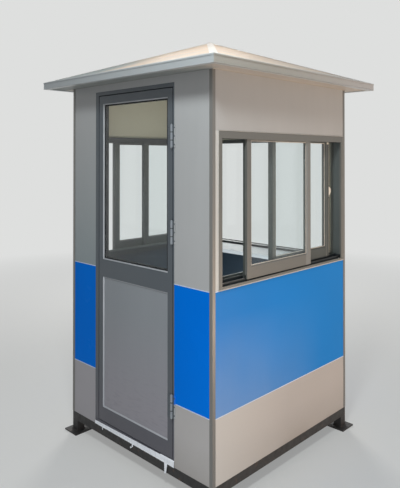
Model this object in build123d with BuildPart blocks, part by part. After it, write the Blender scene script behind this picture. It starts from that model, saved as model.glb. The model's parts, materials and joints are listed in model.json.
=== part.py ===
"""Security guard booth: a one-person cabin on four short legs, with a glazed door, two sliding
windows, a fixed back window and a shallow pyramid roof.

Millimetres, +Z up, ground at Z 0, origin under the middle of the cabin. The door face looks
along -Y and the face with the photographed sliding window looks along +X.
"""

import os
from math import atan2, degrees

from build123d import *

os.makedirs("parts", exist_ok=True)

# Cabin
cabin_w = 1200.0          # across the door face, over the cladding
cabin_d = 1240.0          # across the window face, over the cladding
wall_h = 2023.0           # from the underside of the walls to the ceiling sheet
wall_t = 50.0             # whole wall, with its cladding
clad_t = 4.0              # cladding sheet
band_bottom = 324.0       # underside of the blue band, above the underside of the walls
band_top = 942.0          # top of the blue band, where the windows stand
trim_w = 21.0             # corner trim, each flange
trim_t = 1.5

# Base frame, legs and floor
rail_size = 50.0
rail_wall = 3.0
leg_size = 50.0
leg_h = 62.0
foot_w = 122.0
foot_t = 8.0
floor_t = 30.0

# Door frame, placed from the corner beside the photographed window
door_inset = 269.0
door_w = 691.0
door_top = 1981.0         # top of the frame, above the underside of the walls
head_face = 22.0
jamb_hinge = 10.0
jamb_free = 30.0
frame_back = 12.0         # how far the frame stands into the room
stop_lip = 8.0            # how far the stop laps behind the leaf
threshold_h = 33.0
threshold_nose = 6.0      # bevel on the threshold's outer edge

# Door leaf
leaf_t = 38.0
gap_hinge = 5.0
gap_free = 7.0
gap_top = 5.0
gap_bottom = 5.0
gap_stop = 5.0
stile_w = 36.0
top_rail = 46.0
mid_rail_bottom = 887.0   # above the underside of the walls
mid_rail_h = 103.0
bottom_rail = 81.0
glass_t = 6.0
lip_w = 8.0               # rebate lip behind each pane
bead_w = 6.0              # glazing bead in front of each pane
bead_t = 6.0
bead_land = 1.0           # flat front edge of the bead
bead_recess = 1.0         # of the bead behind the face of the leaf

# Hinges
hinge_h = 118.0
hinge_levels = (310.0, 1205.0, 1702.0)   # centres, above the underside of the walls
barrel_r = 7.0
pin_r = 3.5
pin_play = 0.4
knuckle_play = 0.6
cap_r = 6.0               # tapered cap at each end of the pin
cap_h = 4.0
cap_slope = 30.0
leaf_wing_w = 28.0
frame_wing_w = 16.0
wing_t = 3.0
wing_round = 4.0
barrel_clear = 0.8

# Sliding windows: a frame with two lanes and a track in each
window_near = 45.0        # from the door-side corner to the frame
window_far = 28.0
window_h = 780.0
window_proud = 4.0        # of the frame in front of the cladding
frame_depth = 76.0
frame_web = 6.0
frame_lip = 6.0           # depth of the front and back lips
jamb_face = 22.0
head_cover = 36.0         # height of the lip over the sash heads
sill_lip = 14.0
sill_back = 44.0
track_t = 3.0
track_h = 26.0            # top of the outer track above the underside of the frame
track_step = 10.0         # the inner lane is this much higher
guide_h = 16.0

# Sashes, panes and latches
sash_t = 28.0
sash_play = 2.0           # between a sash and the lip in front of it
sash_gap = 4.0            # between the two sashes
sash_lift = 20.0          # underside of the outer sash above the underside of the frame
sash_drop = 12.0          # top of the sashes below the top of the frame
sash_overlap = 56.0       # of the closed sashes
right_outer_open = 200.0  # from the near jamb to the outer sash
right_inner_open = 80.0   # from the inner sash to the far jamb
left_outer_open = 236.0
left_inner_open = 70.0
sash_stile = 33.0
sash_rail_bottom = 60.0
sash_rail_top = 24.0
sash_bead = 6.0
pane_recess = 8.0
pane_t = 5.0
pane_bite = 6.0           # how deep the pane sits in its groove
groove_w = 9.0
groove_top = 14.0
groove_bottom = 22.0
roller_r = 6.0
roller_t = 5.0
roller_inset = 90.0
axle_r = 2.0
interlock_t = 2.5
interlock_w = 6.0
interlock_inset = 2.0
latch_h = 70.0
latch_w = 16.0
latch_t = 4.0
latch_level = 1375.0      # middle of the latch, above the underside of the walls
hook_r = 28.0
hook_t = 6.0
hook_rise = 5.0           # middle of the hook above the middle of the latch

# Fixed back window
back_side = 80.0          # from each back corner to its frame
back_face = 16.0
back_depth = 58.0

# Worktop
top_t = 25.0
top_deep = 240.0
top_rise = 8.0            # top surface above the underside of the windows
cleat_w = 45.0
cleat_h = 30.0

# Roof
overhang = 133.0
fascia_h = 40.0
fascia_t = 3.0
fascia_lip = 28.0         # return under the edge of the ceiling sheet
ceiling_t = 12.0
roof_rise = 260.0
roof_t = 3.0
roof_land = 10.0          # flat margin of the roof that sits on the fascia

# Levels and planes worked out from the sizes above
z_wall = foot_t + leg_h + rail_size
z_band_bottom = z_wall + band_bottom
z_band_top = z_wall + band_top
z_soffit = z_wall + wall_h
z_door_top = z_wall + door_top
z_floor = z_wall + floor_t
z_threshold = z_wall + threshold_h
half_w = cabin_w / 2
half_d = cabin_d / 2
core_w = half_w - clad_t
core_d = half_d - clad_t
room_w = half_w - wall_t
room_d = half_d - wall_t


def box(x0, x1, y0, y1, z0, z1, mode=Mode.ADD):
    """A block between two corners, in the open part."""
    with BuildSketch(Plane.XY.offset(z0)) as outline:
        with Locations(((x0 + x1) / 2, (y0 + y1) / 2)):
            Rectangle(abs(x1 - x0), abs(y1 - y0))
    extrude(outline.sketch, amount=z1 - z0, mode=mode)


def sloped_hole(mouth, w, h, depth, inset):
    """Cuts a rectangular mouth whose sides close in by inset over its depth."""
    with BuildSketch(mouth) as outline:
        Rectangle(w, h)
    extrude(outline.sketch, amount=depth, taper=degrees(atan2(inset, depth)), mode=Mode.SUBTRACT)


def finish(item, name):
    """Labels a piece and writes it."""
    item.part.label = name
    export_step(item.part, f"parts/{name}.step")


# Base frame: four welded tubes and one across the middle
with BuildPart() as base_frame:
    box(-half_w, half_w, -half_d, half_d, z_wall - rail_size, z_wall)
    bay_w = half_w - rail_size
    bay_end = half_d - rail_size
    for side in (-1, 1):
        box(-bay_w, bay_w, side * rail_size / 2, side * bay_end, z_wall - rail_size, z_wall,
            mode=Mode.SUBTRACT)
    inner = rail_size - 2 * rail_wall
    z_tube = z_wall - rail_size + rail_wall
    for x, y, w, d in (
        (half_w - rail_size / 2, 0, inner, cabin_d - 2 * rail_wall),
        (-half_w + rail_size / 2, 0, inner, cabin_d - 2 * rail_wall),
        (0, half_d - rail_size / 2, cabin_w - 2 * rail_size, inner),
        (0, -half_d + rail_size / 2, cabin_w - 2 * rail_size, inner),
        (0, 0, cabin_w - 2 * rail_size, inner),
    ):
        box(x - w / 2, x + w / 2, y - d / 2, y + d / 2, z_tube, z_tube + inner, mode=Mode.SUBTRACT)
finish(base_frame, "base_frame")

# Legs: a tube on a foot plate
leg_x = half_w - leg_size / 2
leg_y = half_d - leg_size / 2
for side, sx in (("right", 1), ("left", -1)):
    for end, sy in (("front", -1), ("back", 1)):
        cx, cy = sx * leg_x, sy * leg_y
        with BuildPart() as leg:
            with BuildSketch():
                with Locations((cx, cy)):
                    Rectangle(foot_w, foot_w)
            extrude(amount=foot_t)
            with BuildSketch(Plane.XY.offset(foot_t)):
                with Locations((cx, cy)):
                    Rectangle(leg_size, leg_size)
                    Rectangle(leg_size - 2 * rail_wall, leg_size - 2 * rail_wall, mode=Mode.SUBTRACT)
            extrude(amount=leg_h)
        finish(leg, f"leg_{end}_{side}")

# Floor
opening_x1 = half_w - door_inset
opening_x0 = opening_x1 - door_w
with BuildPart() as floor_panel:
    box(-room_w, room_w, -room_d, room_d, z_wall, z_floor)
    box(opening_x0, opening_x1, -room_d, -room_d + frame_back, z_wall, z_floor, mode=Mode.SUBTRACT)
finish(floor_panel, "floor_panel")

# Wall cores, the sides over the whole depth, front and back between them, notched where the
# window frames stand into the room
window_y0 = -half_d + window_near
window_y1 = half_d - window_far
z_win0 = z_band_top
z_win1 = z_band_top + window_h
back_x = half_w - back_side

x_front = half_w + window_proud
x_inner = x_front - frame_depth

with BuildPart() as wall_front:
    box(-room_w, room_w, -core_d, -room_d, z_wall, z_soffit)
    box(opening_x0, opening_x1, -core_d, -room_d, z_wall, z_door_top, mode=Mode.SUBTRACT)
    for s in (1, -1):
        box(s * x_inner, s * room_w, window_y0, -room_d, z_win0, z_win1, mode=Mode.SUBTRACT)
finish(wall_front, "wall_front")

with BuildPart() as wall_back:
    box(-room_w, room_w, room_d, core_d, z_wall, z_soffit)
    box(-back_x, back_x, room_d, core_d, z_win0, z_win1, mode=Mode.SUBTRACT)
    for s in (1, -1):
        box(s * x_inner, s * room_w, room_d, window_y1, z_win0, z_win1, mode=Mode.SUBTRACT)
finish(wall_back, "wall_back")

for side, s in (("right", 1), ("left", -1)):
    with BuildPart() as wall_side:
        box(s * room_w, s * core_w, -core_d, core_d, z_wall, z_soffit)
        box(s * room_w, s * core_w, window_y0, window_y1, z_win0, z_win1, mode=Mode.SUBTRACT)
    finish(wall_side, f"wall_{side}")

# Cladding: a grey sheet at the foot, a blue band and a grey sheet above
bands = (("lower", z_wall, z_band_bottom), ("band", z_band_bottom, z_band_top))
strips = (("left", -half_w, opening_x0), ("right", opening_x1, half_w))
for name, z0, z1 in bands:
    for side, x0, x1 in strips:
        with BuildPart() as sheet:
            box(x0, x1, -half_d, -core_d, z0, z1)
        finish(sheet, f"clad_front_{name}_{side}")
    with BuildPart() as sheet:
        box(-half_w, half_w, core_d, half_d, z0, z1)
    finish(sheet, f"clad_back_{name}")
    for side, s in (("right", 1), ("left", -1)):
        with BuildPart() as sheet:
            box(s * core_w, s * half_w, -core_d, core_d, z0, z1)
        finish(sheet, f"clad_{side}_{name}")

with BuildPart() as clad_front_upper:
    box(-half_w, half_w, -half_d, -core_d, z_band_top, z_soffit)
    box(opening_x0, opening_x1, -half_d, -core_d, z_band_top, z_door_top, mode=Mode.SUBTRACT)
finish(clad_front_upper, "clad_front_upper")

with BuildPart() as clad_back_upper:
    box(-half_w, half_w, core_d, half_d, z_band_top, z_soffit)
    box(-back_x, back_x, core_d, half_d, z_win0, z_win1, mode=Mode.SUBTRACT)
finish(clad_back_upper, "clad_back_upper")

for side, s in (("right", 1), ("left", -1)):
    with BuildPart() as sheet:
        box(s * core_w, s * half_w, -core_d, core_d, z_band_top, z_soffit)
        box(s * core_w, s * half_w, window_y0, window_y1, z_win0, z_win1, mode=Mode.SUBTRACT)
    finish(sheet, f"clad_{side}_upper")

# Corner trims, an angle over each corner of the cladding
for side, sx in (("right", 1), ("left", -1)):
    for end, sy in (("front", -1), ("back", 1)):
        with BuildPart() as trim:
            with BuildSketch(Plane.XY.offset(z_wall)):
                with BuildLine():
                    Polyline(
                        (sx * (half_w + trim_t), sy * (half_d + trim_t)),
                        (sx * (half_w + trim_t), sy * (half_d + trim_t - trim_w)),
                        (sx * half_w, sy * (half_d + trim_t - trim_w)),
                        (sx * half_w, sy * half_d),
                        (sx * (half_w + trim_t - trim_w), sy * half_d),
                        (sx * (half_w + trim_t - trim_w), sy * (half_d + trim_t)),
                        close=True,
                    )
                make_face()
            extrude(amount=wall_h)
        finish(trim, f"corner_trim_{end}_{side}")

# Door frame: a threshold under the whole frame, jambs and head with a stop behind the leaf
frame_y0 = -half_d
frame_y1 = -room_d + frame_back
leaf_y0 = -half_d
leaf_y1 = leaf_y0 + leaf_t
stop_y0 = leaf_y1 + gap_stop
jamb_x0 = opening_x0 + jamb_free
jamb_x1 = opening_x1 - jamb_hinge
z_head = z_door_top - head_face

with BuildPart() as threshold:
    box(opening_x0, opening_x1, frame_y0, frame_y1, z_wall, z_threshold)
    nose = threshold.edges().filter_by(Axis.X).group_by(Axis.Y)[0].sort_by(Axis.Z)[-1]
    chamfer(nose, threshold_nose / 2, threshold_nose)
finish(threshold, "threshold")

with BuildPart() as door_frame:
    box(opening_x0, opening_x1, frame_y0, frame_y1, z_threshold, z_door_top)
    box(jamb_x0, jamb_x1, frame_y0, stop_y0, z_threshold, z_head, mode=Mode.SUBTRACT)
    box(jamb_x0 + gap_free + stop_lip, jamb_x1 - gap_hinge - stop_lip, stop_y0, frame_y1, z_threshold,
        z_head - gap_top - stop_lip, mode=Mode.SUBTRACT)
finish(door_frame, "door_frame")

# Door leaf
leaf_x0 = jamb_x0 + gap_free
leaf_x1 = jamb_x1 - gap_hinge
z_leaf0 = z_threshold + gap_bottom
z_leaf1 = z_head - gap_top
z_mid0 = z_wall + mid_rail_bottom
z_mid1 = z_mid0 + mid_rail_h
pane_x0 = leaf_x0 + stile_w
pane_x1 = leaf_x1 - stile_w
panes = (
    ("glass", z_mid1, z_leaf1 - top_rail),
    ("kick_panel", z_leaf0 + bottom_rail, z_mid0),
)
bead_y0 = leaf_y0 + bead_recess
pane_y0 = bead_y0 + bead_t
pane_y1 = pane_y0 + glass_t

with BuildPart() as door_leaf:
    box(leaf_x0, leaf_x1, leaf_y0, leaf_y1, z_leaf0, z_leaf1)
    for _, z0, z1 in panes:
        box(pane_x0, pane_x1, leaf_y0, pane_y1, z0, z1, mode=Mode.SUBTRACT)
        box(pane_x0 + lip_w, pane_x1 - lip_w, pane_y1, leaf_y1, z0 + lip_w, z1 - lip_w,
            mode=Mode.SUBTRACT)
finish(door_leaf, "door_leaf")

for name, z0, z1 in panes:
    with BuildPart() as pane:
        box(pane_x0, pane_x1, pane_y0, pane_y1, z0, z1)
    finish(pane, f"door_{name}")
    with BuildPart() as bead:
        box(pane_x0, pane_x1, bead_y0, pane_y0, z0, z1)
        middle = ((pane_x0 + pane_x1) / 2, bead_y0, (z0 + z1) / 2)
        sloped_hole(Plane(origin=middle, x_dir=(1, 0, 0), z_dir=(0, 1, 0)),
                    pane_x1 - pane_x0 - 2 * bead_land, z1 - z0 - 2 * bead_land, bead_t,
                    bead_w - bead_land)
    finish(bead, f"door_{name}_bead")

# Hinges: a wing on the frame with two knuckles, the pin and its caps, and a wing on the leaf
# with the knuckle between them
axis_x = (leaf_x1 + jamb_x1) / 2
axis_y = -half_d - barrel_r - barrel_clear
wing_near = barrel_r + barrel_clear
knuckle_h = (hinge_h - 2 * knuckle_play) / 3


def wing(x_far, z0, z1):
    """A hinge wing from beside the barrel to x_far, with its two far corners rounded."""
    with BuildPart() as plate:
        x_near = axis_x + (wing_near if x_far > axis_x else -wing_near)
        box(x_near, x_far, -half_d - wing_t, -half_d, z0, z1)
        across = plate.edges().filter_by(Axis.Y).sort_by(Axis.X)
        corners = across[-2:] if x_far > axis_x else across[:2]
        fillet(corners, wing_round)
    return plate.part


def knuckle(z0, z1):
    """A barrel knuckle round the axis and the neck that joins it to its wing."""
    with BuildSketch(Plane.XY.offset(z0)) as ring:
        with Locations((axis_x, axis_y)):
            Circle(barrel_r)
    extrude(ring.sketch, amount=z1 - z0)


for index, level in enumerate(hinge_levels, start=1):
    z0 = z_wall + level - hinge_h / 2
    z1 = z0 + hinge_h
    z_low = z0 + knuckle_h
    z_high = z1 - knuckle_h
    leaf_wing = wing(axis_x - wing_near - leaf_wing_w, z0, z1)
    frame_wing = wing(axis_x + wing_near + frame_wing_w, z0, z1)
    with BuildPart() as hinge_leaf:
        add(leaf_wing)
        box(axis_x - wing_near, axis_x, -half_d - wing_t, -half_d, z_low + knuckle_play,
            z_high - knuckle_play)
        knuckle(z_low + knuckle_play, z_high - knuckle_play)
        with BuildSketch(Plane.XY.offset(z0)) as bore:
            with Locations((axis_x, axis_y)):
                Circle(pin_r + pin_play)
        extrude(bore.sketch, amount=hinge_h, mode=Mode.SUBTRACT)
    finish(hinge_leaf, f"hinge_{index}_leaf")
    with BuildPart() as hinge_frame:
        add(frame_wing)
        for z_from, z_to in ((z0, z_low), (z_high, z1)):
            box(axis_x, axis_x + wing_near, -half_d - wing_t, -half_d, z_from, z_to)
            knuckle(z_from, z_to)
        with BuildSketch(Plane.XY.offset(z0)) as pin:
            with Locations((axis_x, axis_y)):
                Circle(pin_r)
        extrude(pin.sketch, amount=hinge_h)
        for z_end, way in ((z1, 1), (z0, -1)):
            with BuildSketch(Plane(origin=(axis_x, axis_y, z_end), z_dir=(0, 0, way))) as cap:
                Circle(cap_r)
            extrude(cap.sketch, amount=cap_h, taper=cap_slope)
    finish(hinge_frame, f"hinge_{index}_frame")

# Sliding windows
clear_y0 = window_y0 + jamb_face
clear_y1 = window_y1 - jamb_face
sash_w = (clear_y1 - clear_y0 + sash_overlap) / 2
lane_outer = frame_lip + sash_play
lane_inner = lane_outer + sash_t + sash_gap
z_latch = z_wall + latch_level

for side, s, outer_open, inner_open in (
    ("right", 1, right_outer_open, right_inner_open),
    ("left", -1, left_outer_open, left_inner_open),
):
    lanes = (
        ("outer", lane_outer, clear_y0 + outer_open, 0.0),
        ("inner", lane_inner, clear_y1 - inner_open - sash_w, track_step),
    )

    def deep(d0, d1, y0, y1, z0, z1, mode=Mode.ADD):
        """A block between two depths behind the front of the window frame."""
        box(s * (x_front - d0), s * (x_front - d1), y0, y1, z0, z1, mode=mode)

    with BuildPart() as frame:
        deep(0, frame_depth, window_y0, window_y1, z_win0, z_win1)
        deep(0, frame_lip, clear_y0, clear_y1, z_win0 + sill_lip, z_win1 - head_cover,
             mode=Mode.SUBTRACT)
        deep(frame_lip, frame_depth - frame_lip, window_y0 + frame_web, window_y1 - frame_web,
             z_win0 + frame_web, z_win1 - frame_web, mode=Mode.SUBTRACT)
        deep(frame_depth - frame_lip, frame_depth, clear_y0, clear_y1, z_win0 + sill_back,
             z_win1 - head_cover, mode=Mode.SUBTRACT)
        deep(lane_inner - sash_gap / 2, frame_depth - frame_lip, window_y0 + frame_web,
             window_y1 - frame_web, z_win0 + frame_web, z_win0 + frame_web + track_step)
        for _, lane, _, step in lanes:
            d0 = lane + (sash_t - track_t) / 2
            deep(d0, d0 + track_t, window_y0 + frame_web, window_y1 - frame_web,
                 z_win0 + frame_web, z_win0 + track_h + step)
            deep(d0, d0 + track_t, window_y0 + frame_web, window_y1 - frame_web,
                 z_win1 - frame_web - guide_h, z_win1 - frame_web)
    finish(frame, f"window_frame_{side}")

    for name, lane, y0, step in lanes:
        y1 = y0 + sash_w
        z0 = z_win0 + sash_lift + step
        z1 = z_win1 - sash_drop
        pane_d = lane + pane_recess
        hole_y0 = y0 + sash_stile + sash_bead
        hole_y1 = y1 - sash_stile - sash_bead
        hole_z0 = z0 + sash_rail_bottom + sash_bead
        hole_z1 = z1 - sash_rail_top - sash_bead
        groove_d = lane + (sash_t - groove_w) / 2
        with BuildPart() as sash:
            deep(lane, lane + sash_t, y0, y1, z0, z1)
            mouth = (s * (x_front - lane), (hole_y0 + hole_y1) / 2, (hole_z0 + hole_z1) / 2)
            sloped_hole(Plane(origin=mouth, x_dir=(0, 1, 0), z_dir=(-s, 0, 0)),
                        hole_y1 - hole_y0 + 2 * sash_bead, hole_z1 - hole_z0 + 2 * sash_bead,
                        pane_recess, sash_bead)
            deep(pane_d, lane + sash_t, hole_y0, hole_y1, hole_z0, hole_z1, mode=Mode.SUBTRACT)
            deep(pane_d, pane_d + pane_t, hole_y0 - pane_bite, hole_y1 + pane_bite,
                 hole_z0 - pane_bite, hole_z1 + pane_bite, mode=Mode.SUBTRACT)
            deep(groove_d, groove_d + groove_w, y0, y1, z0, z0 + groove_bottom, mode=Mode.SUBTRACT)
            deep(groove_d, groove_d + groove_w, y0, y1, z1 - groove_top, z1, mode=Mode.SUBTRACT)
            z_axle = z_win0 + track_h + step + roller_r
            x_roller = s * (x_front - lane - sash_t / 2)
            for y in (y0 + roller_inset, y1 - roller_inset):
                for radius, thick in ((roller_r, roller_t), (axle_r, groove_w)):
                    with BuildSketch(Plane.YZ.offset(x_roller - thick / 2)) as wheel:
                        with Locations((y, z_axle)):
                            Circle(radius)
                    extrude(wheel.sketch, amount=thick)
            if name == "outer":
                deep(lane + sash_t, lane + sash_t + interlock_t, y1 - interlock_inset - interlock_w,
                     y1 - interlock_inset, z0 + sash_rail_bottom, z1 - sash_rail_top)
            else:
                deep(lane - interlock_t, lane, y0 + interlock_inset,
                     y0 + interlock_inset + interlock_w, z0 + sash_rail_bottom, z1 - sash_rail_top)
        finish(sash, f"sash_{name}_{side}")
        with BuildPart() as pane:
            deep(pane_d, pane_d + pane_t, hole_y0 - pane_bite, hole_y1 + pane_bite,
                 hole_z0 - pane_bite, hole_z1 + pane_bite)
        finish(pane, f"pane_{name}_{side}")

    # Latch on the closing edge of the inner sash, flush with its outer face: a plate and a
    # half-round hook
    latch_y = clear_y1 - inner_open
    latch_d = lane_inner + latch_w / 2
    with BuildPart() as latch:
        deep(latch_d - latch_w / 2, latch_d + latch_w / 2, latch_y, latch_y + latch_t,
             z_latch - latch_h / 2, z_latch + latch_h / 2)
        ends = latch.edges().filter_by(Axis.Y)
        fillet(ends, latch_w / 3)
        with BuildSketch(Plane.YZ.offset(s * (x_front - latch_d) - hook_t / 2)) as hook:
            with Locations((latch_y + latch_t, z_latch + hook_rise)):
                Circle(hook_r)
            with Locations((latch_y + latch_t - hook_r, z_latch + hook_rise)):
                Rectangle(2 * hook_r, 2 * hook_r, mode=Mode.SUBTRACT)
        extrude(hook.sketch, amount=hook_t)
    finish(latch, f"latch_{side}")

# Fixed back window
with BuildPart() as window_frame_back:
    y_front = half_d + window_proud
    box(-back_x, back_x, y_front - back_depth, y_front, z_win0, z_win1)
    pane_y = y_front - pane_recess - pane_t
    mouth = (0, y_front, (z_win0 + z_win1) / 2)
    hole_w = back_x - back_face - sash_bead
    hole_z0 = z_win0 + back_face + sash_bead
    hole_z1 = z_win1 - back_face - sash_bead
    sloped_hole(Plane(origin=mouth, x_dir=(1, 0, 0), z_dir=(0, -1, 0)), 2 * (hole_w + sash_bead),
                hole_z1 - hole_z0 + 2 * sash_bead, pane_recess, sash_bead)
    box(-hole_w, hole_w, y_front - back_depth, y_front - pane_recess, hole_z0, hole_z1,
        mode=Mode.SUBTRACT)
    box(-hole_w - pane_bite, hole_w + pane_bite, pane_y, pane_y + pane_t, hole_z0 - pane_bite,
        hole_z1 + pane_bite, mode=Mode.SUBTRACT)
finish(window_frame_back, "window_frame_back")

with BuildPart() as pane_back:
    box(-hole_w - pane_bite, hole_w + pane_bite, pane_y, pane_y + pane_t, hole_z0 - pane_bite,
        hole_z1 + pane_bite)
finish(pane_back, "pane_back")

# Worktop along the back wall, between the window frames, on cleats fixed to three walls
z_top = z_win0 + top_rise
with BuildPart() as worktop:
    top_y0 = room_d - top_deep
    back_edge = min(room_d, y_front - back_depth)
    z_cleat = z_top - top_t - cleat_h
    box(-x_inner, x_inner, top_y0, back_edge, z_top - top_t, z_top)
    box(-room_w, room_w, room_d - cleat_w, room_d, z_cleat, z_cleat + cleat_h)
    for s in (1, -1):
        box(s * room_w, s * (room_w - cleat_w), top_y0 + cleat_w, room_d, z_cleat,
            z_cleat + cleat_h)
finish(worktop, "worktop")

# Roof: a ceiling sheet that is also the soffit, a fascia round it and a hollow pyramid on top
eave_w = half_w + overhang
eave_d = half_d + overhang
z_lip = z_soffit - fascia_t
z_eave = z_lip + fascia_h
with BuildPart() as ceiling:
    box(-eave_w + fascia_t, eave_w - fascia_t, -eave_d + fascia_t, eave_d - fascia_t, z_soffit,
        z_soffit + ceiling_t)
finish(ceiling, "ceiling")

with BuildPart() as fascia:
    box(-eave_w, eave_w, -eave_d, eave_d, z_lip, z_eave)
    box(-eave_w + fascia_lip, eave_w - fascia_lip, -eave_d + fascia_lip, eave_d - fascia_lip, z_lip,
        z_soffit, mode=Mode.SUBTRACT)
    box(-eave_w + fascia_t, eave_w - fascia_t, -eave_d + fascia_t, eave_d - fascia_t, z_soffit, z_eave,
        mode=Mode.SUBTRACT)
finish(fascia, "fascia")


def pyramid(w, d, rise):
    """A pyramid on a rectangle of half sizes w and d: two ridge prisms, intersected."""
    with BuildPart() as solid:
        with BuildSketch(Plane.XZ.offset(-d)):
            with BuildLine():
                Polyline((-w, z_eave), (w, z_eave), (0, z_eave + rise), close=True)
            make_face()
        extrude(amount=2 * d)
        with BuildSketch(Plane.YZ.offset(-w)):
            with BuildLine():
                Polyline((-d, z_eave), (d, z_eave), (0, z_eave + rise), close=True)
            make_face()
        extrude(amount=2 * w, mode=Mode.INTERSECT)
    return solid.part


roof_outer = pyramid(eave_w, eave_d, roof_rise)
roof_void = pyramid(eave_w - roof_land, eave_d - roof_land, roof_rise * (1 - roof_land / eave_w) - roof_t)
with BuildPart() as roof:
    add(roof_outer)
    add(roof_void, mode=Mode.SUBTRACT)
finish(roof, "roof")

print("hinge axis", axis_x, axis_y, "sash width", sash_w, "total height", z_eave + roof_rise)
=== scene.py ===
# %% [markdown]
# ## A security guard booth
# The booth's walls, door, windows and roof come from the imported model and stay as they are. This
# file gives each of them its finish, and adds the small things that a fitter adds last: trims,
# seals, gaskets, screws, welds and a strip of protective film. Everything is in metres.

# %% Load the model
import json
from math import radians

import bmesh
import bpy
from mathutils import Matrix, Vector


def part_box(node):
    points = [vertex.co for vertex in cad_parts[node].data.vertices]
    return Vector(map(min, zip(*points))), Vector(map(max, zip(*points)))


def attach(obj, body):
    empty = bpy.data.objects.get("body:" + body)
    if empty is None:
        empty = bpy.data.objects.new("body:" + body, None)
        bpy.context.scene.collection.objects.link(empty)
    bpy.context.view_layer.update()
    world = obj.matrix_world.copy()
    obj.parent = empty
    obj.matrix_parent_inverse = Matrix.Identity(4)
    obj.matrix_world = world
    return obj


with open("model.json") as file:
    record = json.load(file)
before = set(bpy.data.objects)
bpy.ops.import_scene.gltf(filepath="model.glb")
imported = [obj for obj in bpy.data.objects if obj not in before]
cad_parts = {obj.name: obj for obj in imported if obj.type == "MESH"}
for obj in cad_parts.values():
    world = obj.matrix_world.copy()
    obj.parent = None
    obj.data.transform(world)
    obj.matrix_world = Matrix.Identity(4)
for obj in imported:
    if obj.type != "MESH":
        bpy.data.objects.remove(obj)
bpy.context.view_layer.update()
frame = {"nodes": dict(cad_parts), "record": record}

# %% [markdown]
# ## Camera
# The booth stands corner on. The numbers come from straight edges whose directions are known:
# upright corners, sill lines and eaves. The small upward tilt keeps the uprights nearly parallel,
# and the rest of the framing is a shift of the film, as with a view camera.

# %% Camera
film_mm = 36              # the longer side of the film
photo_h = 488             # rows in the picture
focal_px = 556.3          # focal length in its pixels
axis_row = 152.1          # row where the optical axis meets the picture
camera_at = Vector((2.429, -2.581, 1.714))
heading = radians(44.29)  # turned left from looking along +Y
tilt = radians(0.5)       # looking up

camera = bpy.data.objects.new("camera", bpy.data.cameras.new("camera"))
bpy.context.scene.collection.objects.link(camera)
camera.location = camera_at
camera.rotation_euler = (radians(90) + tilt, 0, heading)
camera.data.sensor_width = film_mm
camera.data.lens = film_mm * focal_px / photo_h
camera.data.shift_y = (axis_row - photo_h / 2) / photo_h
bpy.context.scene.camera = camera
print("lens", round(camera.data.lens, 2), "mm, shift", round(camera.data.shift_y, 3))

# %% [markdown]
# ## Colours and nodes
# Paint is easiest to judge as it looks on a screen, from 0 to 255, but a shader works with linear
# light. `tone` turns one into the other. `add_node` places a node and plugs its inputs in, so that
# each finish below reads as a short list of what it is made of.

# %% Colour and node helpers
def tone(red, green, blue):
    """A screen colour, 0 to 255, as linear numbers with an alpha of 1."""
    def linear(value):
        value = value / 255
        return value / 12.92 if value <= 0.04045 else ((value + 0.055) / 1.055) ** 2.4
    return (linear(red), linear(green), linear(blue), 1.0)


def stronger(colour, factor):
    """The same colour, lighter or darker by a factor."""
    return tuple(min(1.0, part * factor) for part in colour[:3]) + (1.0,)


def add_node(finish, kind, inputs, **settings):
    """Adds a node. An input given as a socket is linked, and a plain value is set."""
    made = finish.node_tree.nodes.new(kind)
    for key, value in settings.items():
        setattr(made, key, value)
    for key, value in inputs.items():
        if isinstance(value, bpy.types.NodeSocket):
            finish.node_tree.links.new(value, made.inputs[key])
        else:
            made.inputs[key].default_value = value
    return made


def place(finish, stretch=(1, 1, 1)):
    """Where a point lies on the object, in metres, squeezed along the axes by stretch."""
    where = add_node(finish, "ShaderNodeTexCoord", {})
    mapping = add_node(finish, "ShaderNodeMapping", {"Vector": where.outputs["Object"], "Scale": stretch})
    return mapping.outputs["Vector"]


def cloud(finish, scale, stretch=(1, 1, 1), detail=3.0):
    """A soft random share from 0 to 1; a larger scale makes smaller clouds."""
    noise = add_node(finish, "ShaderNodeTexNoise",
                     {"Vector": place(finish, stretch), "Scale": scale, "Detail": detail})
    return noise.outputs["Fac"]


def spread(finish, share, low, high, start=0.3, stop=0.7):
    """Turns a share between start and stop into a number between low and high."""
    made = add_node(finish, "ShaderNodeMapRange",
                    {"Value": share, "From Min": start, "From Max": stop, "To Min": low, "To Max": high})
    return made.outputs["Result"]


def mixed(finish, share, first, second):
    """Goes from the first colour to the second as the share goes from 0 to 1."""
    made = add_node(finish, "ShaderNodeMix", {0: share, 6: first, 7: second}, data_type="RGBA")
    return made.outputs[2]


def feed(finish, socket, value):
    """Plugs a value into the shader."""
    finish.node_tree.links.new(value, finish.node_tree.nodes["Principled BSDF"].inputs[socket])


print("screen grey 128 is", round(tone(128, 128, 128)[0], 3), "in linear light")

# %% [markdown]
# ## Sheet and metal finishes
# No painted sheet is one flat colour. Each finish starts with the same three layers: a slow drift
# in tone, a slight change in gloss, and a fine skin that catches the light. Rolled metal has its
# grain drawn out along the way it was rolled, which is what `stretch` does.

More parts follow.
